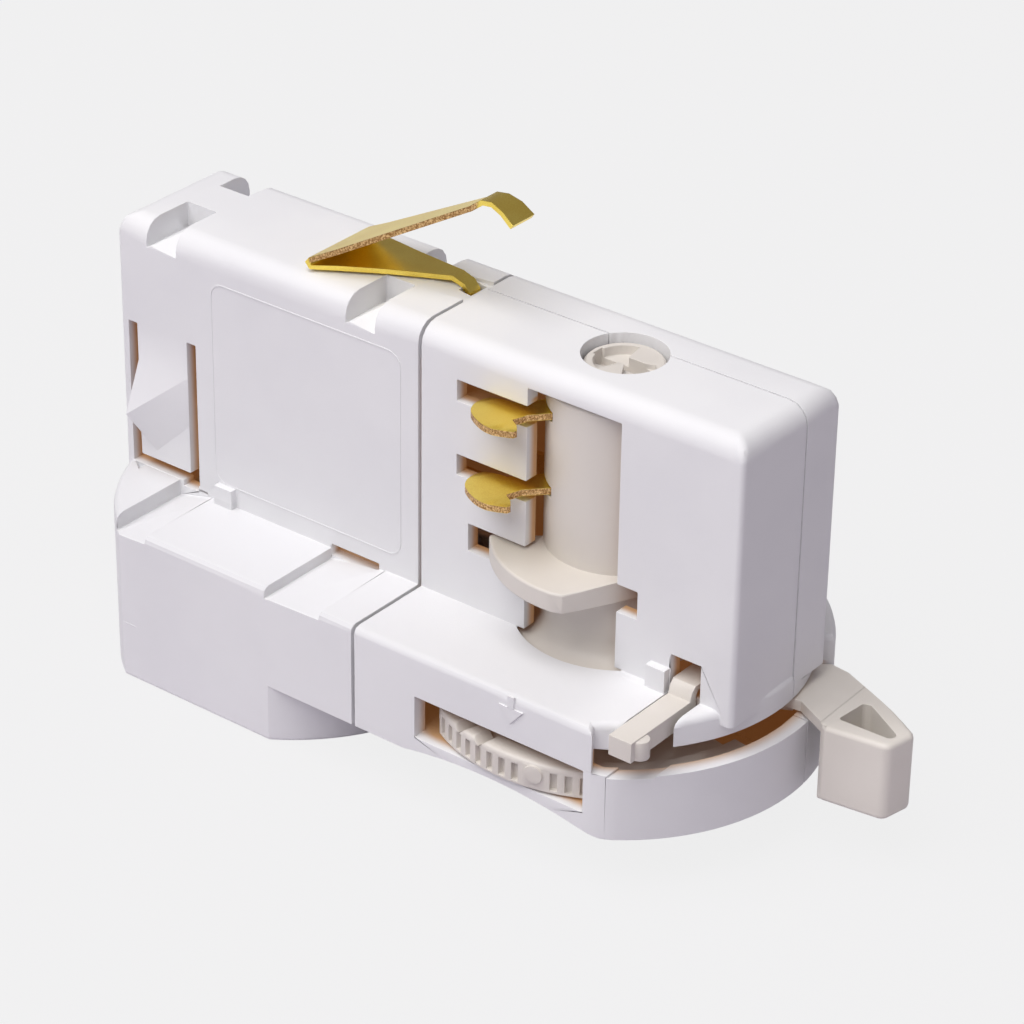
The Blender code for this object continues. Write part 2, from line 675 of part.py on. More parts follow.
def lock_drum(finish, pivot):
    """Turned drum with a top spigot, a flared foot, a spindle and two wings half a turn apart."""
    low = LEDGE_Z + FLANGE_TOP - FLANGE_HEIGHT
    foot = BOSS_DEPTH - NOSE_DROP + 0.4
    top = LEDGE_Z + HEAD_HEIGHT - SPIGOT_RECESS
    flare = [
        (FLANGE_RADIUS - (FLANGE_RADIUS - DRUM_RADIUS) * math.sin(turn), LEDGE_Z + FLANGE_TOP + 2.4 * (1 - math.cos(turn)))
        for turn in (math.radians(angle) for angle in range(0, 91, 15))
    ]
    profile = (
        [(0, foot), (SPINDLE_RADIUS, foot), (SPINDLE_RADIUS, low), (FLANGE_RADIUS, low)]
        + flare
        + [(DRUM_RADIUS, LEDGE_Z + DRUM_TOP - 0.4), (DRUM_RADIUS - 0.4, LEDGE_Z + DRUM_TOP)]
        + [(SPIGOT_RADIUS, LEDGE_Z + DRUM_TOP), (SPIGOT_RADIUS, top - 0.3), (SPIGOT_RADIUS - 0.3, top), (0, top)]
    )
    obj = thing("lock_drum", lathe(profile), finish, parent=pivot)
    base = LEDGE_Z + WING_LOW
    for half_turn in (0, 180):
        wing = prism(turned(wing_outline(), half_turn), base, base + WING_HEIGHT)
        join(obj, round_edges(wing, 0.3, lambda a, b: abs(a.z - b.z) < 1e-3 and min(a.xy.length, b.xy.length) > 8, 2))
    for half_turn in (0, 180):
        for height in BLADE_LEVELS.values():
            pocket = turned([(BLADE_ROOT - 0.2, -0.75), (11, -0.75), (11, 2.75), (BLADE_ROOT - 0.2, 2.75)], BLADE_DIRECTION + half_turn)
            cut(obj, prism(pocket, LEDGE_Z + height - 0.2, LEDGE_Z + height + BLADE_THICKNESS + 0.2))
    cut(obj, sector(SPIGOT_RADIUS - 0.9, 100, 250, top - 1.0, top + 1), box((-3.3, 3.3), (-0.7, 0.7), (top - 1.8, top + 1)))
    cut(obj, sector(SPIGOT_RADIUS - 0.9, -60, 20, top - 0.6, top + 1))
    return obj


def blade_outline(longer):
    """Blade from above, along its own direction: stem, round head and the hooked tip."""
    head = [(10.6, 0.1), (11.7, -0.55), (12.9, -0.85), (14.15, 0.05), (14.7, 1.4), (14.5, 2.75), (13.8, 4.3), (12.9, 5.3)]
    head += [(11.9, 5.75), (10.8, 6.05)]
    hook = [(10.42, 5.8), (10.4, 4.86), (10.79, 3.64), (9.9, 3.1), (9.3, 2.7), (7.4, 2.4)]
    return (
        [(BLADE_ROOT, -0.5), (7.4, -0.5)]
        + [(along + longer, across) for along, across in smoothed(head) + hook[:-1]]
        + [hook[-1], (BLADE_ROOT, 2.4)]
    )


def contact_blade(name, level_name, half_turn, finish, pivot):
    """Stamped flat contact."""
    base = LEDGE_Z + BLADE_LEVELS[level_name]
    longer = 0.5 if level_name == "lower" else 0.0
    bm = prism(turned(blade_outline(longer), BLADE_DIRECTION + half_turn), base, base + BLADE_THICKNESS)
    return thing(name, bm, finish, parent=pivot)


def lock_lever(finish, pivot):
    """Lever under the ledge: hub, arm through the nose slot and a deep grip with a triangular eye."""
    top = LEDGE_Z - LEVER_TOP
    thick, thin = top - LEVER_PLATE, top - LEVER_NECK
    hub = disc(LEVER_HUB_RADIUS, thick, top)
    obj = thing("lock_lever", hub, finish, parent=pivot)
    reach = NOSE_RADIUS
    arm = prism([(2, -6.0), (reach - 2.4, 3.1), (reach - 4.6, 8.95), (-2, 6.9)], thick, top)
    neck = [(-4.6, 2.2), (-1.32, 2.8), (3.0, 0.6), (3.0, 8.51), (-0.65, 10.07), (-2.9, 10.32), (-5.2, 8.6)]
    neck = prism([(reach + x, y) for x, y in neck], thin, top)
    grip = [(2.3, 0.86), (2.95, 0.42), (9.75, 1.3), (10.5, 4.95), (8.2, 6.3), (2.06, 8.92)]
    grip = prism(rounded([(reach + x, y) for x, y in grip], [0, 0.6, 1.1, 1.0, 0, 0]), top - GRIP_HEIGHT, top)
    round_edges(grip, GRIP_ROUND, lambda a, b: min(a.x, b.x) > reach + 2.6 and abs(a.z - b.z) < 1e-3)
    join(obj, arm, neck, grip)
    eye = [(3.2, 2.5), (8.9, 2.65), (9.4, 3.5), (4.4, 6.45), (3.6, 6.3)]
    eye = rounded([(reach + x, y) for x, y in eye], [0.35, 0.5, 0.5, 0.35, 0.35], 3)
    cut(obj, prism(eye, top - GRIP_HEIGHT - 1, top + 1), disc(SPINDLE_RADIUS + SEAT_GAP, thick - 1, top + 1, 32))
    return obj


# Selector


def selector_dial(finish, pivot):
    """Part of a ring with a ribbed rim, on a thin web and a hub that turns on the lock's spindle."""
    top = LEDGE_Z - DIAL_TOP
    low = top - DIAL_HEIGHT
    inner = DIAL_RADIUS - DIAL_RIM
    end = DIAL_START + DIAL_SPAN
    ring = arc((0, 0), DIAL_RADIUS, DIAL_START, end, 44) + arc((0, 0), inner, end, DIAL_START, 32)
    rim = prism(ring, low, top)
    round_edges(rim, DIAL_EDGE, lambda a, b: level(top)(a, b) and min(a.xy.length, b.xy.length) > DIAL_RADIUS - 0.1, 2)
    obj = thing("selector_dial", rim, finish, parent=pivot)
    stop = arc((0, 0), DIAL_RADIUS - 0.4, DIAL_START - 3.4, DIAL_START + 1, 6)
    stop += arc((0, 0), inner, DIAL_START + 1, DIAL_START - 3.4, 6)
    mark = rod(1.0, DIAL_RADIUS - 1, DIAL_RADIUS + 0.2, "X", (0, (low + top) / 2 + 0.2), 20)
    mark.transform(Matrix.Rotation(math.radians(DIAL_MARK), 4, "Z"))
    web = sector(inner + 0.5, DIAL_START + 2, end - 2, top - DIAL_WEB_TOP - DIAL_WEB, top - DIAL_WEB_TOP)
    join(obj, web, disc(DIAL_HUB_RADIUS, low, top), prism(stop, low + 0.9, top - 0.1), mark)
    cut(obj, disc(SPINDLE_RADIUS + RUNNING_GAP, low - 1, top + 1, 32))
    half = DIAL_GROOVE_WIDTH / 2
    angles = [DIAL_MARK + way * (DIAL_PAD + DIAL_PITCH * number) for way in (-1, 1) for number in range(14)]
    for angle in (value for value in angles if DIAL_START + 2 < value < end - 2):
        groove = box((DIAL_RADIUS - DIAL_GROOVE, DIAL_RADIUS + 1), (-half, half), (low + 0.3, top - 0.75))
        groove.transform(Matrix.Rotation(math.radians(angle), 4, "Z"))
        cut(obj, groove)
    for number in (3, 5):
        notch = prism([(-0.9, top + 0.1), (0, top - 0.8), (0.9, top + 0.1)], inner - 1, DIAL_RADIUS + 1, "X")
        notch.transform(Matrix.Rotation(math.radians(DIAL_MARK - DIAL_PAD - DIAL_PITCH * number), 4, "Z"))
        cut(obj, notch)
    for number in range(3):
        angle = math.radians(-115 + DIAL_STEP * number)
        x, y = DIAL_HUB_RADIUS * math.cos(angle), DIAL_HUB_RADIUS * math.sin(angle)
        cut(obj, rod(0.9, low - 1, low + 1.2, "Z", (x, y), 12))
    return obj


def selector_detent(finish):
    """Leaf spring on the floor, whose nose clicks into the notches of the dial's hub."""
    low = LEDGE_Z - DIAL_WINDOW_LOW + SEAT_GAP
    x, y = -5.4, -DIAL_HUB_RADIUS - 0.45
    outline = [(x, y - 2.2), (x + 2.4, y - 1.6), (x + 3.4, y - 0.4), (x + 4.4, y - 1.6), (x + 7.5, y - 2.2), (x + 7.5, y - 2.7)]
    outline += [(x + 4.6, y - 2.15), (x + 3.4, y - 0.9), (x + 2.2, y - 2.15), (x, y - 2.7)]
    return thing("selector_detent", prism(outline, low, low + 1.0), finish, at=(LOCK_X, 0, 0))


# Interlock


def interlock_bar(finish):
    """Push bar across the ledge: a lugged end at the skirt, a step at the window and a tail on the spring."""
    left, right = BAR_LEFT, BAR_LEFT + BAR_WIDTH
    top, low = LEDGE_Z + BAR_TOP, LEDGE_Z + BAR_TOP - BAR_THICKNESS
    step = LEDGE_Z + BAR_STEP_TOP
    side = [
        (-BAR_REACH, low),
        (-BAR_REACH, top),
        (-8.6, top),
        (-8.35, LEDGE_Z + 1.05),
        (-7.8, step),
        (-BAR_TAIL + 0.6, step),
        (-BAR_TAIL + 0.6, LEDGE_Z + 0.95),
        (-7.2, LEDGE_Z + 0.95),
        (-7.65, LEDGE_Z + 0.4),
        (-7.65, low),
    ]
    obj = thing("interlock_bar", prism(side, left, right, "X"), finish, at=(LOCK_X, 0, 0))
    lug = arc((right - 0.1, 1.6 - BAR_REACH), 0.95, -90, 90, 10)
    lug += [(right - 1, 2.55 - BAR_REACH), (right - 1, 0.65 - BAR_REACH)]
    join(obj, prism(lug, low, top - 0.15), at=(LOCK_X, 0, 0))
    return obj


def interlock_spring(finish):
    """Small coil spring that lifts the bar's tail."""
    low = LEDGE_Z - SPRING_SEAT_DEPTH + SPRING_WIRE / 2 + 0.15
    high = LEDGE_Z + 0.95 - SPRING_WIRE / 2 - 0.15
    turns, steps = 3, 12
    curve = bpy.data.curves.new("interlock_spring", "CURVE")
    curve.dimensions = "3D"
    curve.bevel_depth = SPRING_WIRE / 2 * MM
    curve.bevel_resolution = 1
    curve.use_fill_caps = True
    spline = curve.splines.new("POLY")
    count = turns * steps + 1
    spline.points.add(count - 1)
    for number in range(count):
        angle = math.tau * number / steps
        rise = low + (high - low) * number / (count - 1)
        place = (SPRING_RADIUS * math.cos(angle), SPRING_RADIUS * math.sin(angle), rise)
        spline.points[number].co = (*(value * MM for value in place), 1)
    curve.materials.append(finish)
    obj = bpy.data.objects.new("interlock_spring", curve)
    bpy.context.scene.collection.objects.link(obj)
    centre = (LOCK_X + BAR_LEFT + BAR_WIDTH / 2, -BAR_TAIL - 1.2, 0)
    obj.location = [value * MM for value in centre]
    return obj


# Earth contact and stem


def earth_spring(finish):
    """Folded leaf: a tail held in the housing, a tapered lower leaf, a fold and a rising upper leaf."""
    top = LEDGE_Z + HEAD_HEIGHT
    lift = LEAF_THICKNESS / 2
    fold, tail, knee = LEAF_FOLD_X, LEAF_TAIL_X, LEAF_KNEE_X
    front, back = LEAF_FOLD_SIDES
    narrow, root = LEAF_KNEE_WIDTH / 2, LEAF_TAIL_WIDTH / 2
    knee_z = top + LEAF_KNEE_HEIGHT
    slope = (LEAF_KNEE_HEIGHT - 1.2) / (knee - fold)
    stations = [
        (tail + lift, top - LEAF_TAIL_DROP, LEAF_TAIL_Y - root, LEAF_TAIL_Y + root),
        (tail + lift, top - 0.75, LEAF_TAIL_Y - root, LEAF_TAIL_Y + root),
        (tail - 0.3, top - 0.05, LEAF_TAIL_Y - root, LEAF_TAIL_Y + root),
        (tail - 1.5, top + 0.2 + lift, 1.15, 2.9),
        (fold + 6.9, top + 0.3 + lift, -1.9, back + 0.1),
        (fold + 2.6, top + 0.3 + lift, -4.5, back + 0.6),
        (fold + 0.35, top + 0.32 + lift, front, back + 0.1),
        (fold, top + 0.72 + lift, front, back),
        (fold + 0.35, top + 1.12 + lift, front, back),
        (fold + 3, top + 1.2 + 2.8 * slope, front + 0.7, back - 0.2),
        (knee - 1.5, knee_z - 1.5 * slope - 0.15, -narrow - 0.2, narrow + 0.1),
        (knee - 0.3, knee_z - 0.05, -narrow, narrow),
        (knee + 0.9, knee_z + 0.1, -narrow, narrow + 0.1),
        (knee + 2.3, knee_z - 0.35, -narrow - 0.2, narrow + 0.3),
        (knee + 3.7, knee_z - 1.3, -narrow - 0.4, narrow + 0.4),
    ]
    bm = bmesh.new()
    rows = [[bm.verts.new((x, y, z)) for y in sides] for x, z, *sides in stations]
    for first, second in zip(rows, rows[1:]):
        bm.faces.new((first[0], first[1], second[1], second[0]))
    bmesh.ops.recalc_face_normals(bm, faces=bm.faces)
    obj = thing("earth_spring", bm, finish)
    skin = obj.modifiers.new("leaf", "SOLIDIFY")
    skin.thickness = LEAF_THICKNESS * MM
    skin.offset = 0
    skin.use_even_offset = True
    return obj


def stem_nut(finish):
    """Hexagon nut on the boss floor, which holds the lamp's stem."""
    low = FLOOR_THICKNESS + SEAT_GAP
    corner = NUT_ACROSS_FLATS / 2 / math.cos(math.radians(30))
    nut = prism(arc((0, 0), corner, 0, 300, 5), low, low + NUT_HEIGHT)
    round_edges(nut, 0.4, lambda a, b: abs(a.z - b.z) < 1e-3, 1)
    return cut(thing("stem_nut", nut, finish), disc(NUT_BORE / 2, low - 1, low + NUT_HEIGHT + 1, 40))


# Terminals


def terminal_carrier(finish):
    """Insulating block hung under the end housing's ceiling plate, with three wells for the clamps."""
    base, half = CARRIER_BASE, CARRIER_LENGTH / 2
    width = HALF_HEAD - HEAD_WALL - SEAT_GAP
    obj = thing("terminal_carrier", box((-half, half), (-width - 2.6, width + 2.6), (base - CARRIER_FLANGE, base)), finish)
    join(obj, box((0.6 - half, half - 0.6), (-width, width), (base - 0.5, CARRIER_TOP)))
    well = TERMINAL_SIZE / 2 + SEAT_GAP
    for number in (-1, 0, 1):
        x = number * TERMINAL_PITCH
        deep = CARRIER_TOP - TERMINAL_HEIGHT - SEAT_GAP
        cut(obj, box((x - well, x + well), (-well, well), (deep, CARRIER_TOP + 1)))
        cut(obj, rod(1.6, base - CARRIER_FLANGE - 1, deep + 1, "Z", (x, 0), 20))
    return obj


def terminal(name, number, finish):
    """Brass clamp block with a wire hole from below and a tapped hole for its screw."""
    base = CARRIER_TOP - TERMINAL_HEIGHT
    x, half = number * TERMINAL_PITCH, TERMINAL_SIZE / 2
    block = box((x - half, x + half), (-half, half), (base, base + TERMINAL_HEIGHT))
    obj = thing(name, round_edges(block, 0.25, lambda a, b: True, 1), finish)
    cut(obj, rod(1.4, base - 1, base + 4.0, "Z", (x, 0), 20))
    return cut(obj, rod(1.25, base + 3.0, base + TERMINAL_HEIGHT + 1, "Z", (x, 0), 20))


def screw(name, radius, head_radius, head_height, length, finish, at, turn=None):
    """Cheese-head screw with a slot, its head up and its shank down."""
    profile = [
        (0, -length),
        (radius - 0.25, -length),
        (radius, 0.3 - length),
        (radius, 0),
        (head_radius, 0),
        (head_radius, head_height - 0.2),
        (head_radius - 0.2, head_height),
        (0, head_height),
    ]
    obj = thing(name, lathe(profile, 16), finish, at)
    slot = thing(
        f"{name}.slot", box((-head_radius - 1, head_radius + 1), (-0.25, 0.25), (head_height - 0.6, head_height + 1)), at=at
    )
    if turn:
        obj.rotation_euler = slot.rotation_euler = turn
    return cut(obj, slot)


def terminal_screw(name, number, finish):
    return screw(name, 1.0, 1.9, 1.2, 3.2, finish, (number * TERMINAL_PITCH, 0, CARRIER_TOP + SEAT_GAP))


def conductor_strip(name, side, finish):
    """Flat strip that lies on the carrier and ends beside the drum."""
    start, end = 0.0, LOCK_X - DRUM_RADIUS - 1.2
    y = side * (HALF_HEAD - HEAD_WALL - SEAT_GAP - 2.5)
    half, low = STRIP_THICKNESS / 2, CARRIER_TOP + SEAT_GAP
    return thing(name, box((start, end), (y - half, y + half), (low, low + STRIP_WIDTH)), finish)


def case_screw(name, offset, finish):
    """Screw from the back shell into the front shell's post."""
    seat = HALF_HEAD - SCREW_HEAD_HEIGHT - 0.4 + 0.25
    place = (LOCK_X + offset, seat, LEDGE_Z + SCREW_LEVEL)
    return screw(name, SCREW_RADIUS - 0.1, SCREW_HEAD_RADIUS, SCREW_HEAD_HEIGHT, 9.0, finish, place, (math.radians(-90), 0, 0))


def build():
    for obj in list(bpy.data.objects):
        bpy.data.objects.remove(obj, do_unlink=True)
    housing = material("housing_white", (0.80, 0.80, 0.82), 0.5)
    cream = material("cream_plastic", (0.80, 0.76, 0.66), 0.42)
    carrier = material("carrier_white", (0.7, 0.7, 0.68), 0.5)
    gold = material("contact_gold", (0.83, 0.62, 0.2), 0.25, 1.0)
    brass = material("brass", (0.72, 0.55, 0.25), 0.3, 1.0)
    steel = material("steel", (0.6, 0.6, 0.6), 0.3, 1.0)

    end_housing(housing)
    housing_half("front_shell", housing, FRONT)
    housing_half("back_shell", housing, BACK)

    lock = axis_empty("lock_axis", (LOCK_X, 0, 0))
    lock_drum(cream, lock)
    lock_lever(cream, lock)
    for side_name, half_turn in (("front", 0), ("back", 180)):
        for level_name in BLADE_LEVELS:
            contact_blade(f"contact_{side_name}_{level_name}", level_name, half_turn, gold, lock)

    selector = axis_empty("selector_axis", (LOCK_X, 0, 0))
    selector_dial(cream, selector)
    selector_detent(steel)
    interlock_bar(cream)
    interlock_spring(steel)
    earth_spring(gold)
    stem_nut(steel)

    terminal_carrier(carrier)
    for number, name in ((-1, "line"), (0, "neutral"), (1, "earth")):
        terminal(f"terminal_{name}", number, brass)
        terminal_screw(f"terminal_screw_{name}", number, steel)
    conductor_strip("conductor_line", FRONT, brass)
    conductor_strip("conductor_neutral", BACK, brass)
    case_screw("case_screw_left", -SCREW_OFFSET, steel)
    case_screw("case_screw_right", SCREW_OFFSET, steel)


build()
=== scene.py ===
"""Track light adapter: finishes, fine relief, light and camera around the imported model.

Sizes are in millimetres and angles in degrees unless a name says otherwise.
"""

import math

import bpy
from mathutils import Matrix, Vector


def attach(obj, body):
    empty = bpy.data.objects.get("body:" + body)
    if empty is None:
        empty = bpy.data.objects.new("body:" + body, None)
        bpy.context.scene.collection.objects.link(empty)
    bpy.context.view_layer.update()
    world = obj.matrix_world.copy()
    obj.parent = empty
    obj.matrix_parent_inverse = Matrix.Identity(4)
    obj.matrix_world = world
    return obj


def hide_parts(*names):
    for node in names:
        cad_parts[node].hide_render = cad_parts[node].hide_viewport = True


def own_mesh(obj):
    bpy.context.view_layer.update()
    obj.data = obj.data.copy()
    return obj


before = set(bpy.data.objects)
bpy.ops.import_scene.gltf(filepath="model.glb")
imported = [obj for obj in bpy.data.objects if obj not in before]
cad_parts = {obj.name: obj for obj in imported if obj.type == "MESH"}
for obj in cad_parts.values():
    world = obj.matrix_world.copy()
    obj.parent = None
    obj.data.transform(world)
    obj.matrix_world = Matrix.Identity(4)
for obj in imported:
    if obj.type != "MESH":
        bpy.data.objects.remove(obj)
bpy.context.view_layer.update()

MM = 0.001
FRONT, BACK = -1, 1

# The housing's sizes that the relief is set against
LOCK_X = 39.7
LEDGE_Z = 18.1
HALF_HEAD = 7.9
HALF_SKIRT = 18.3
HEAD_TOP = 47.3
HEAD_LEFT = -19.1
HEAD_RIGHT = 59.2

# Edge rounding of mouldings and of stamped sheet, and how sharp an edge has to be for it
MOULDED_EDGE = 0.08
STAMPED_EDGE = 0.05
ROUNDED_FROM = 38

# A rounded corner that lies further than this off the sharp body has strayed
STRAY = 0.07

# Share of a piece's corners that a small cut leaves at the least
SHARE_KEPT = 0.9

# Hollow of the head and the lock's chamber in the skirt, where brown shade is painted, and where the ledge's painted
# shade fades out
HEAD_HOLLOW_TOP = 43.6
CHAMBER_Z = (8.3, 15.25)
CHAMBER_EDGE = (19.2, 21.3)
LEDGE_END = (45, 50)

# Shades of the plastics and the metals
WHITE_DARK = (0.765, 0.765, 0.78)
WHITE_LIGHT = (0.795, 0.795, 0.805)
# Painted shade: a darker white on the ledge beside the head
PAINTED_LEDGE_SHADE = (0.725, 0.725, 0.74)
# Painted shade: brown for the housing's inside, and a painted warm glow there that the plastic gives off itself
PAINTED_INSIDE_SHADE = (0.55, 0.35, 0.19)
PAINTED_INSIDE_GLOW = (0.060, 0.024, 0.007)
# Painted shade: the drum's, dial's and bar's cream is the lever's cream made darker, for the stronger light on them
DARKENED_DRUM_CREAM = (0.66, 0.62, 0.57), (0.695, 0.655, 0.605)
LEVER_CREAM = (0.735, 0.695, 0.635), (0.77, 0.73, 0.67)
GOLD_FACE = (0.90, 0.66, 0.12), (1.0, 0.80, 0.18)
GOLD_RIM = (0.34, 0.17, 0.06), (0.86, 0.58, 0.28)
INSULATOR_WHITE = (0.66, 0.65, 0.62), (0.72, 0.71, 0.68)
BRASS = (0.80, 0.62, 0.30), (0.66, 0.48, 0.20)
STEEL = (0.66, 0.66, 0.67), (0.50, 0.50, 0.52)

# Label panel: a fine line round a bare field
PANEL_X = (-6.4, 18.5)
PANEL_Z = (20.3, 43.3)
PANEL_CORNER = 1.6
LINE_WIDTH = 0.14
LINE_HEIGHT = 0.05

# Cuts at the head's foot: left and right, how deep, lower and upper end
FOOT_CUTS = (
    (-10.95, -8.85, 1.8, 18.12, 18.85),
    (-8.84, -7.6, 0.8, 18.12, 18.4),
    (9.35, 15.6, 1.2, 17.3, 18.6),
)

# Latch catch: its apex, and the two ends of the edge where its lower facet stops
CATCH_APEX = (-16.8, 10.1, 25.5)
CATCH_FOOT = ((-16.45, 24.2), (-14.45, 21.0))

# Arrow above the dial
ARROW_X = 40.8
ARROW_TIP = 15.1
ARROW_HEAD = (2.9, 1.7)
ARROW_SHAFT = (0.75, 1.3)
RELIEF = 0.16

# Heights of the blades' undersides
BLADE_Z = {"lower": 33.2, "upper": 41.35}
BLADE_THICKNESS = 0.75

# Upper earth leaf: how fast its front edge runs back, where that edge starts and ends, and the knee near its tip
LEAF_TAPER = 0.2826
LEAF_FRONT_EDGE = (-7.63, -7.56)
LEAF_KNEE = (22.4, 23.0)

# Lamps: direction towards them, distance and size in metres, power in watts and colour
LAMPS = {
    "key_lamp": ((-0.08, -0.45, 0.89), 0.8, 0.8, 7.9, (1.0, 0.99, 0.98)),
    "side_lamp": ((0.9, -0.35, 0.1), 0.9, 0.6, 0.1, (0.98, 0.93, 1.0)),
}
LAMP_TARGET = (26, 0, 26)

# Light from all round, and what the camera sees of the floor and of the backdrop
SKY_COLOUR, SKY_STRENGTH = (0.97, 0.91, 1.0, 1), 0.26
FLOOR_SEEN = (0.902, 0.902, 0.902)
FLOOR_COLOUR = (0.52, 0.48, 0.55)
FLOOR_SHARE = 0.93
BACKDROP_SEEN = (0.87, 0.87, 0.87, 1)

# The photograph's camera: place in metres, turn in degrees, lens in millimetres on a 36 mm sensor
CAMERA_PLACE = (0.227906, -0.259772, 0.213275)
CAMERA_TURN = (60.20176, -0.72640, 38.22491)
CAMERA_LENS = 133.522


# Shader maths

# The Mix node's colour sockets go by number, because its number and vector sockets share their names
MIX_FIRST_COLOUR, MIX_SECOND_COLOUR, MIX_COLOUR_RESULT = 6, 7, 2


class Value:
    """A socket that can be reckoned with like a number."""

    def __init__(self, finish, socket):
        self.finish = finish
        self.socket = socket

    def maths(self, operation, *others):
        values = {place: other for place, other in enumerate(others)}
        return self.finish.node("ShaderNodeMath", {"operation": operation}, values)

    def __add__(self, other):
        return self.maths("ADD", self, other)

    def __radd__(self, other):
        return self.maths("ADD", other, self)

    def __sub__(self, other):
        return self.maths("SUBTRACT", self, other)

    def __rsub__(self, other):
        return self.maths("SUBTRACT", other, self)

    def __mul__(self, other):
        return self.maths("MULTIPLY", self, other)

    def __rmul__(self, other):
        return self.maths("MULTIPLY", other, self)

    def __abs__(self):
        return self.maths("ABSOLUTE", self)

    def root(self):
        return self.maths("SQRT", self)

    def between(self, low, high):
        """0 at or below low, 1 at or above high, easing in between."""
        settings = {"interpolation_type": "SMOOTHSTEP"}
        return self.finish.node("ShaderNodeMapRange", settings, {"Value": self, "From Min": low, "From Max": high})


class Finish:
    """A material made of nodes, with its object coordinates at hand."""

    def __init__(self, name, **surface):
        self.material = bpy.data.materials.new(name)
        self.material.use_nodes = True
        self.tree = self.material.node_tree
        self.shader = self.tree.nodes["Principled BSDF"]
        self.set(**surface)
        self.place = self.node("ShaderNodeTexCoord", output="Object")

    def node(self, kind, settings=None, values=None, output=0):
        """Adds a node, sets its settings and then the values or links of its sockets."""
        made = self.tree.nodes.new(kind)
        for setting, value in (settings or {}).items():
            setattr(made, setting, value)
        for socket, value in (values or {}).items():
            self.join(made.inputs[socket], value)
        return Value(self, made.outputs[output])

    def join(self, socket, value):
        if isinstance(value, Value):
            self.tree.links.new(value.socket, socket)
        elif socket.type == "RGBA" and len(value) == 3:
            socket.default_value = (*value, 1)
        else:
            socket.default_value = value

    def set(self, **surface):
        """Sets or links sockets of the surface shader, named with _ for a space."""
        for name, value in surface.items():
            self.join(self.shader.inputs[name.replace("_", " ").title().replace("Ior", "IOR")], value)

    def noise(self, scale, detail, roughness):
        values = {"Vector": self.place, "Scale": scale, "Detail": detail, "Roughness": roughness}
        return self.node("ShaderNodeTexNoise", None, values, "Fac")

    def axis(self, letter):
        return self.node("ShaderNodeSeparateXYZ", None, {0: self.place}, letter)

    def mix(self, factor, first, second):
        """Two colours, mixed."""
        values = {"Factor": factor, MIX_FIRST_COLOUR: first, MIX_SECOND_COLOUR: second}
        return self.node("ShaderNodeMix", {"data_type": "RGBA"}, values, MIX_COLOUR_RESULT)

    def bump(self, height, strength, distance_mm):
        values = {"Height": height, "Strength": strength, "Distance": distance_mm * MM}
        return self.node("ShaderNodeBump", None, values, "Normal")


def within(value, low, high, blur):
    """1 between two lengths in millimetres and 0 outside them, easing in and out over the blur."""
    low, high, blur = low * MM, high * MM, blur * MM
    return value.between(low, low + blur) * (1 - value.between(high - blur, high))


def beyond(value, low, high):
    """0 up to the first length in millimetres and 1 from the second one on."""
    return value.between(low * MM, high * MM)


def painted_shade_inside(along, across, height):
    """Where shade is painted: 1 inside the hollow head and in the lock's chamber in the skirt, and 0 outside them."""
    in_head = within(height, LEDGE_Z - 1.0, HEAD_HOLLOW_TOP, 0.4)
    in_head = in_head * within(along, HEAD_LEFT + 0.4, HEAD_RIGHT - 0.4, 0.6)
    in_head = in_head * (1 - beyond(across, HALF_HEAD - 1.3, HALF_HEAD - 0.25))
    from_lock = along - LOCK_X * MM
    reach = (from_lock * from_lock + across * across).root()
    in_skirt = within(height, *CHAMBER_Z, 0.1) * (1 - beyond(reach, *CHAMBER_EDGE))
    in_skirt = in_skirt * (1 - beyond(across, HALF_SKIRT - 1.6, HALF_SKIRT - 0.25))
    return in_head + in_skirt * (1 - in_head)


def moulded_white():
    """Cool white polycarbonate with the fine grain of a spark-eroded mould, with painted brown shade and a painted
    glow on its inside, and painted shade on the ledge beside the head.
    """
    finish = Finish("housing_white", specular_ior_level=0.35, emission_strength=1.0)
    grain = finish.noise(7000, 2, 0.6)
    cloud = finish.noise(60, 3, 0.5)
    outside = finish.mix(cloud.between(0.35, 0.65), WHITE_DARK, WHITE_LIGHT)
    across, height, along = abs(finish.axis("Y")), finish.axis("Z"), finish.axis("X")
    # Painted brown shade and painted glow inside the head and in the lock's chamber
    shade = painted_shade_inside(along, across, height)
    # Painted shade on the ledge beside the head
    ledge_shade_mask = within(height, LEDGE_Z - 1.2, LEDGE_Z + 0.8, 0.15) * (1 - beyond(along, *LEDGE_END))
    ledge_shade_mask = ledge_shade_mask * within(across, HALF_HEAD, HALF_SKIRT, 0.2)
    outside = finish.mix(ledge_shade_mask, outside, PAINTED_LEDGE_SHADE)
    finish.set(
        base_color=finish.mix(shade, outside, PAINTED_INSIDE_SHADE),
        roughness=0.46 + 0.14 * grain,
        emission_color=finish.mix(shade, (0, 0, 0), PAINTED_INSIDE_GLOW),
        normal=finish.bump(grain, 0.35, 0.03),
    )
    return finish.material


def moulded_cream(name, dark, light):
    """Warm white satin plastic of the moving parts."""
    finish = Finish(name, specular_ior_level=0.4)
    grain = finish.noise(5000, 2, 0.6)
    cloud = finish.noise(90, 3, 0.5)
    colour = finish.mix(cloud.between(0.35, 0.65), dark, light)
    finish.set(base_color=colour, roughness=0.36 + 0.12 * grain, normal=finish.bump(grain, 0.2, 0.02))
    return finish.material


def metal(name, light, dark, roughness, grain_scale, grain_depth):
    """Metal with a grain and slow changes of shade."""
    finish = Finish(name, metallic=1.0)
    grain = finish.noise(grain_scale, 3, 0.65)
    cloud = finish.noise(220, 2, 0.5)
    colour = finish.mix((0.6 * grain + 0.4 * cloud).between(0.35, 0.65), dark, light)
    finish.set(
        base_color=colour,
        roughness=roughness - 0.08 + 0.16 * grain,
        normal=finish.bump(grain, 0.5, grain_depth),
    )
    return finish.material


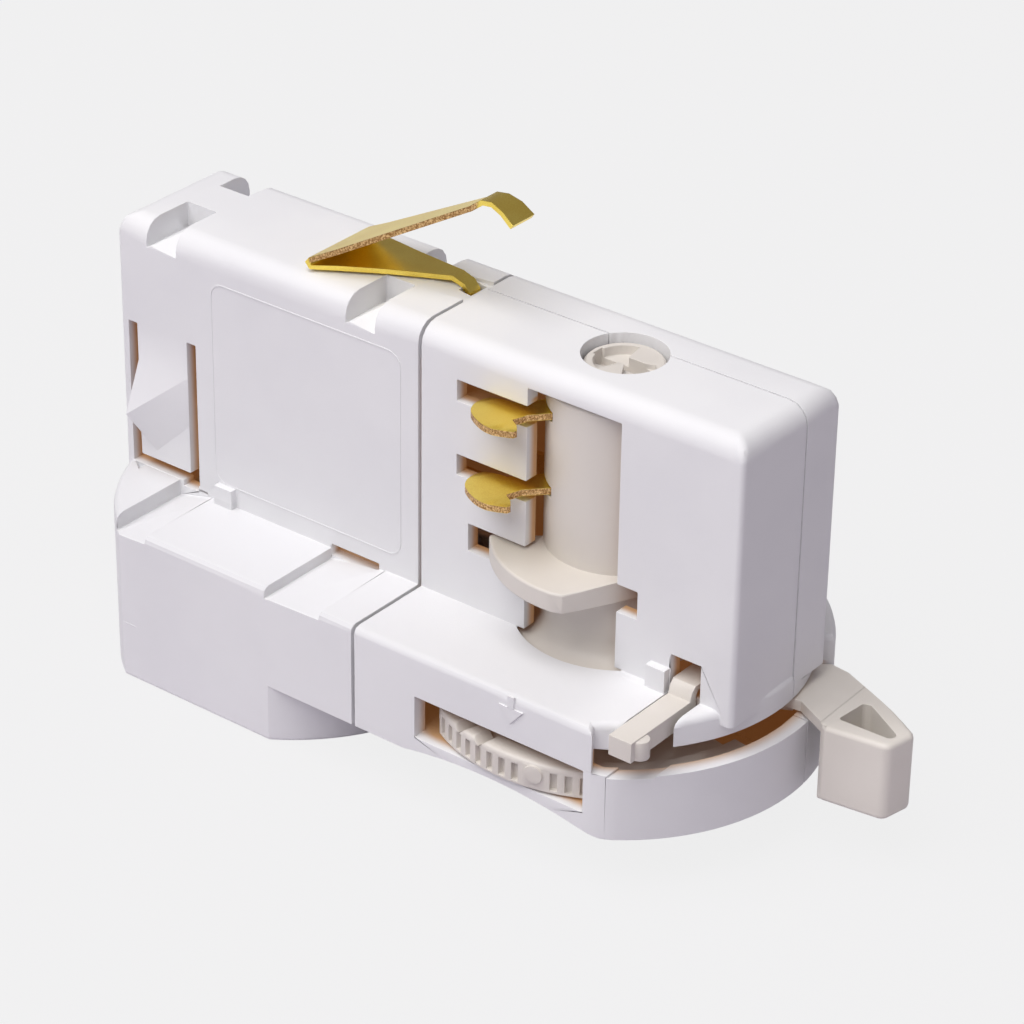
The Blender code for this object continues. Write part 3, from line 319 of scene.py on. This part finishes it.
def plated_gold(name, edge):
    """Gold plate on stamped sheet: bright faces with a fine grain, and dark broken edges where edge is 1."""
    finish = Finish(name, metallic=1.0)
    edge = edge(finish)
    grain = finish.noise(9000, 3, 0.65)
    cloud = finish.noise(260, 2, 0.5)
    face = finish.mix((0.6 * grain + 0.4 * cloud).between(0.35, 0.65), *GOLD_FACE)
    torn = finish.noise(5200, 2, 0.6).between(0.36, 0.68)
    rim = finish.mix(torn, *GOLD_RIM)
    finish.set(
        base_color=finish.mix(edge, face, rim),
        roughness=0.24 + 0.18 * grain + 0.1 * edge,
        normal=finish.bump(grain + 2 * edge * torn, 0.5, 0.012),
    )
    return finish.material


def blade_edge(finish):
    """1 on the cut edges of the blades, between their two faces."""
    height = finish.axis("Z")
    rims = 0.0
    for low in BLADE_Z.values():
        middle = (low + BLADE_THICKNESS / 2) * MM
        rims = rims + (1 - beyond(abs(height - middle), 0.30, 0.37))
    return rims


def leaf_edge(finish):
    """1 on the cut edge of the upper leaf that faces the front."""
    along, height = finish.axis("X"), finish.axis("Z")
    beside = finish.axis("Y") - LEAF_TAPER * along
    near = 1 - beyond(beside, *LEAF_FRONT_EDGE)
    return near * beyond(height, HEAD_TOP + 0.9, HEAD_TOP + 1.3) * (1 - beyond(along, *LEAF_KNEE))


def plain_white():
    """Off-white insulator with a faint mould grain."""
    finish = Finish("insulator", roughness=0.5)
    grain = finish.noise(4000, 2, 0.6)
    colour = finish.mix(grain, *INSULATOR_WHITE)
    finish.set(base_color=colour, roughness=0.45 + 0.1 * grain, normal=finish.bump(grain, 0.2, 0.02))
    return finish.material


# Pieces


def work_on(piece):
    """Makes a piece the only one selected."""
    bpy.ops.object.select_all(action="DESELECT")
    piece.select_set(True)
    bpy.context.view_layer.objects.active = piece


def engrave(piece, cutters):
    """Takes the cutters' shapes out of a piece and clears them away. A cut that would lose the piece is left out."""
    work_on(piece)
    for cutter in cutters:
        whole = piece.data.copy()
        engraving = piece.modifiers.new("engraving", "BOOLEAN")
        engraving.object = cutter
        engraving.solver = "EXACT"
        bpy.ops.object.modifier_apply(modifier="engraving")
        if len(piece.data.vertices) < SHARE_KEPT * len(whole.vertices):
            piece.data = whole
        bpy.data.objects.remove(cutter)


def eased_copy(node, body, finish, width=MOULDED_EDGE, cuts=(), smooth_below=32):
    """A copy of a CAD node, shown in its place: its loose triangles are joined, cuts are made and edges are eased."""
    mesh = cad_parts[node].data.copy()
    mesh.materials.clear()
    mesh.materials.append(finish)
    piece = bpy.data.objects.new(f"{node}_finished", mesh)
    bpy.context.scene.collection.objects.link(piece)
    work_on(piece)
    bpy.ops.mesh.customdata_custom_splitnormals_clear()
    bpy.ops.object.mode_set(mode="EDIT")
    bpy.ops.mesh.select_all(action="SELECT")
    bpy.ops.mesh.remove_doubles(threshold=2e-6)
    bpy.ops.object.mode_set(mode="OBJECT")
    engrave(piece, cuts)
    bpy.ops.object.mode_set(mode="EDIT")
    bpy.ops.mesh.select_all(action="SELECT")
    bpy.ops.mesh.remove_doubles(threshold=2e-6)
    bpy.ops.mesh.dissolve_limited(angle_limit=math.radians(0.5))
    bpy.ops.mesh.quads_convert_to_tris(quad_method="BEAUTY", ngon_method="BEAUTY")
    bpy.ops.object.mode_set(mode="OBJECT")
    if width:
        round_edges(piece, width)
    smooth(piece, smooth_below)
    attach(piece, body)
    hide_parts(node)
    return piece


def round_edges(piece, width):
    """Rounds a piece's sharp edges."""
    sharp = bpy.data.objects.new("sharp_body", piece.data.copy())
    bpy.context.scene.collection.objects.link(sharp)
    rounding = piece.modifiers.new("rounding", "BEVEL")
    rounding.width = width * MM
    rounding.segments = 2
    rounding.limit_method = "ANGLE"
    rounding.angle_limit = math.radians(ROUNDED_FROM)
    rounding.use_clamp_overlap = False
    rounding.miter_outer = "MITER_ARC"
    bpy.ops.object.modifier_apply(modifier="rounding")
    settle_strays(piece, sharp)


def settle_strays(piece, sharp):
    """Puts corners that the rounding threw off the surface back on to the sharp body, and clears that away."""
    bpy.context.view_layer.update()
    strays = []
    for vertex in piece.data.vertices:
        found, nearest, normal, face = sharp.closest_point_on_mesh(vertex.co)
        if (nearest - vertex.co).length > STRAY * MM:
            strays.append(vertex.index)
    if strays:
        piece.vertex_groups.new(name="strays").add(strays, 1, "REPLACE")
        settling = piece.modifiers.new("settling", "SHRINKWRAP")
        settling.target = sharp
        settling.vertex_group = "strays"
        bpy.ops.object.modifier_apply(modifier="settling")
        piece.vertex_groups.clear()
    bpy.data.objects.remove(sharp)


def smooth(piece, below):
    """Smooth shading, apart from the edges sharper than an angle."""
    work_on(piece)
    bpy.ops.object.shade_smooth_by_angle(angle=math.radians(below))
    weighted = piece.modifiers.new("weighted", "WEIGHTED_NORMAL")
    weighted.keep_sharp = True
    bpy.ops.object.modifier_apply(modifier="weighted")


def upright_plane(width, height, middle):
    """A plane that faces the front, left in edit mode with all of it selected."""
    bpy.ops.object.select_all(action="DESELECT")
    bpy.ops.mesh.primitive_plane_add(size=1, enter_editmode=True, location=(0, 0, 0))
    bpy.ops.transform.resize(value=(width * MM, height * MM, 1), center_override=(0, 0, 0))
    bpy.ops.transform.rotate(value=math.radians(-90), orient_axis="X", center_override=(0, 0, 0))
    bpy.ops.transform.translate(value=[value * MM for value in middle])
    return bpy.context.object


def thicken(depth):
    """Gives what is selected in edit mode a depth towards the back, and goes back to object mode."""
    bpy.ops.mesh.extrude_region_move(TRANSFORM_OT_translate={"value": (0, depth * MM, 0)})
    bpy.ops.mesh.select_all(action="SELECT")
    bpy.ops.mesh.normals_make_consistent(inside=False)
    bpy.ops.object.mode_set(mode="OBJECT")


def panel_line(finish):
    """Fine raised line with round corners round the bare label field."""
    middle = (sum(PANEL_X) / 2, -HALF_HEAD - LINE_HEIGHT, sum(PANEL_Z) / 2)
    line = upright_plane(PANEL_X[1] - PANEL_X[0], PANEL_Z[1] - PANEL_Z[0], middle)
    bpy.ops.mesh.bevel(offset=PANEL_CORNER * MM, segments=6, affect="VERTICES")
    bpy.ops.mesh.select_all(action="SELECT")
    bpy.ops.mesh.inset(thickness=LINE_WIDTH * MM)
    bpy.ops.mesh.delete(type="FACE")
    bpy.ops.mesh.select_all(action="SELECT")
    thicken(LINE_HEIGHT + 0.1)
    line.name = "label_line"
    line.data.materials.append(finish)
    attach(line, "housing")


def foot_cut(side, left, right, depth, low, high):
    """Block that cuts into the head's foot from its side."""
    size = [length * MM for length in (right - left, depth + 0.1, high - low)]
    bpy.ops.object.select_all(action="DESELECT")
    bpy.ops.mesh.primitive_cube_add(size=1, enter_editmode=True, location=(0, 0, 0))
    bpy.ops.transform.resize(value=size, center_override=(0, 0, 0))
    middle = ((left + right) / 2, side * (HALF_HEAD + 0.05 - depth / 2), (low + high) / 2)
    bpy.ops.transform.translate(value=[value * MM for value in middle])
    bpy.ops.object.mode_set(mode="OBJECT")
    return bpy.context.object


def catch_cut(side):
    """Wedge that gives the catch its short lower left facet."""
    start, end = (Vector((x, side * HALF_HEAD, z)) for x, z in CATCH_FOOT)
    apex = Vector((CATCH_APEX[0], side * CATCH_APEX[1], CATCH_APEX[2]))
    along = (end - start).normalized()
    outwards = apex - start - along * (apex - start).dot(along)
    aside = Vector((0, side, 0)).cross(along)
    aside *= math.copysign(4, -aside.x)
    first, last = start - along * 3, end + along * 1
    corners = []
    for shift in (Vector(), outwards * 2, aside):
        corners += [first + shift, last + shift]
    bpy.ops.object.select_all(action="DESELECT")
    bpy.ops.mesh.primitive_cylinder_add(vertices=3, radius=MM, depth=MM, location=(0, 0, 0))
    wedge = bpy.context.object
    for number, corner in enumerate(corners):
        bpy.ops.object.mode_set(mode="EDIT")
        bpy.ops.mesh.select_all(action="DESELECT")
        bpy.ops.object.mode_set(mode="OBJECT")
        vertex = wedge.data.vertices[number]
        vertex.select = True
        move = corner * MM - vertex.co
        bpy.ops.object.mode_set(mode="EDIT")
        bpy.ops.transform.translate(value=move)
    bpy.ops.mesh.select_all(action="SELECT")
    bpy.ops.mesh.normals_make_consistent(inside=False)
    bpy.ops.object.mode_set(mode="OBJECT")
    return wedge


def dial_arrow(finish):
    """Small raised arrow that points down at the dial."""
    width, height = ARROW_HEAD
    front = -HALF_SKIRT - RELIEF
    arrow = upright_plane(width, height, (ARROW_X, front, ARROW_TIP + height / 2))
    bpy.ops.mesh.select_all(action="DESELECT")
    bpy.ops.object.mode_set(mode="OBJECT")
    for vertex in arrow.data.vertices:
        vertex.select = vertex.co.z < ARROW_TIP * MM + 1e-6
    bpy.ops.object.mode_set(mode="EDIT")
    bpy.ops.mesh.merge(type="CENTER")
    bpy.ops.mesh.select_all(action="SELECT")
    thicken(RELIEF + 0.1)
    arrow.name = "dial_arrow"
    middle = ARROW_TIP + height + ARROW_SHAFT[1] / 2 - 0.02
    shaft = upright_plane(*ARROW_SHAFT, (ARROW_X, front, middle))
    thicken(RELIEF + 0.1)
    shaft.name = "dial_arrow_shaft"
    for piece in (arrow, shaft):
        piece.data.materials.append(finish)
        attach(piece, "housing")


def dress(node, finish):
    """Gives a CAD node that keeps its own mesh its finish."""
    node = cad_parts[node]
    node.data.materials.clear()
    node.data.materials.append(finish)


# Stage


def floor_finish():
    """A pale floor that the camera sees as one even shade and that still takes light and shadow."""
    finish = Finish("floor_pale", base_color=FLOOR_COLOUR, roughness=1.0)
    rays = finish.tree.nodes.new("ShaderNodeLightPath")
    seen = finish.tree.nodes.new("ShaderNodeEmission")
    seen.inputs["Color"].default_value = (*FLOOR_SEEN, 1)
    blend = finish.tree.nodes.new("ShaderNodeMixShader")
    links = finish.tree.links
    camera, glossy, through = (
        Value(finish, rays.outputs[f"Is {kind} Ray"]) for kind in ("Camera", "Glossy", "Transmission")
    )
    share = FLOOR_SHARE * (camera + glossy + through)
    links.new(share.socket, blend.inputs[0])
    links.new(finish.shader.outputs[0], blend.inputs[1])
    links.new(seen.outputs[0], blend.inputs[2])
    links.new(blend.outputs[0], finish.tree.nodes["Material Output"].inputs["Surface"])
    return finish.material


def build_stage():
    bpy.ops.mesh.primitive_plane_add(size=12, location=(0, 0, 0))
    floor = bpy.context.object
    floor.name = "floor"
    floor.data.materials.append(floor_finish())


def area_lamp(name, towards, distance, size, power, colour):
    """A soft square lamp that shines on the object from one side."""
    lamp = bpy.data.lights.new(name, "AREA")
    lamp.shape = "SQUARE"
    lamp.size = size
    lamp.energy = power
    lamp.color = colour
    obj = bpy.data.objects.new(name, lamp)
    bpy.context.scene.collection.objects.link(obj)
    direction = Vector(towards).normalized()
    obj.location = Vector(LAMP_TARGET) * MM + direction * distance
    obj.rotation_euler = direction.to_track_quat("Z", "Y").to_euler()


def build_light():
    """Soft light from all round, a pale backdrop for the camera alone, and the lamps."""
    world = bpy.data.worlds.new("studio")
    bpy.context.scene.world = world
    world.use_nodes = True
    nodes, links = world.node_tree.nodes, world.node_tree.links
    sky = nodes["Background"]
    sky.inputs["Color"].default_value = SKY_COLOUR
    sky.inputs["Strength"].default_value = SKY_STRENGTH
    seen = nodes.new("ShaderNodeBackground")
    seen.inputs["Color"].default_value = BACKDROP_SEEN
    rays, blend = nodes.new("ShaderNodeLightPath"), nodes.new("ShaderNodeMixShader")
    links.new(rays.outputs["Is Camera Ray"], blend.inputs[0])
    links.new(sky.outputs[0], blend.inputs[1])
    links.new(seen.outputs[0], blend.inputs[2])
    links.new(blend.outputs[0], nodes["World Output"].inputs["Surface"])
    for name, lamp in LAMPS.items():
        area_lamp(name, *lamp)


def build_camera():
    camera = bpy.data.cameras.new("camera")
    camera.sensor_width = 36
    camera.lens = CAMERA_LENS
    camera.clip_start = 0.01
    camera.clip_end = 50
    obj = bpy.data.objects.new("camera", camera)
    bpy.context.scene.collection.objects.link(obj)
    obj.location = CAMERA_PLACE
    obj.rotation_euler = [math.radians(angle) for angle in CAMERA_TURN]
    bpy.context.scene.camera = obj


def build():
    bpy.context.scene.view_settings.view_transform = "Standard"
    white = moulded_white()
    # The drum, dial and bar get a darker copy of the lever's cream: painted shade
    cream = moulded_cream("cream_plastic", *DARKENED_DRUM_CREAM)
    lever_cream = moulded_cream("lever_cream", *LEVER_CREAM)
    insulator = plain_white()
    blade_gold = plated_gold("blade_gold", blade_edge)
    leaf_gold = plated_gold("leaf_gold", leaf_edge)
    brass = metal("brass", *BRASS, 0.32, 6000, 0.01)
    steel = metal("steel", *STEEL, 0.34, 5000, 0.01)

    cuts = []
    for side in (FRONT, BACK):
        cuts += [catch_cut(side)] + [foot_cut(side, *cut) for cut in FOOT_CUTS]
    eased_copy("end_housing", "housing", white, cuts=cuts, smooth_below=23)
    panel_line(white)
    dial_arrow(white)
    eased_copy("front_shell", "housing", white)
    eased_copy("back_shell", "housing", white)
    eased_copy("lock_drum", "lock", cream)
    eased_copy("lock_lever", "lock", lever_cream)
    eased_copy("selector_dial", "selector", cream)
    eased_copy("interlock_bar", "interlock", cream)
    for side in ("front", "back"):
        for level in ("upper", "lower"):
            eased_copy(f"contact_{side}_{level}", "lock", blade_gold, STAMPED_EDGE)
    eased_copy("earth_spring", "housing", leaf_gold, STAMPED_EDGE)
    dress("terminal_carrier", insulator)
    for pole in ("line", "neutral", "earth"):
        dress(f"terminal_{pole}", brass)
        dress(f"terminal_screw_{pole}", steel)
    dress("conductor_line", brass)
    dress("conductor_neutral", brass)
    spring = eased_copy("interlock_spring", "housing", steel, width=0)
    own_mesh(spring)
    for node in ("selector_detent", "stem_nut", "case_screw_left", "case_screw_right"):
        dress(node, steel)

    build_stage()
    build_light()
    build_camera()


build()
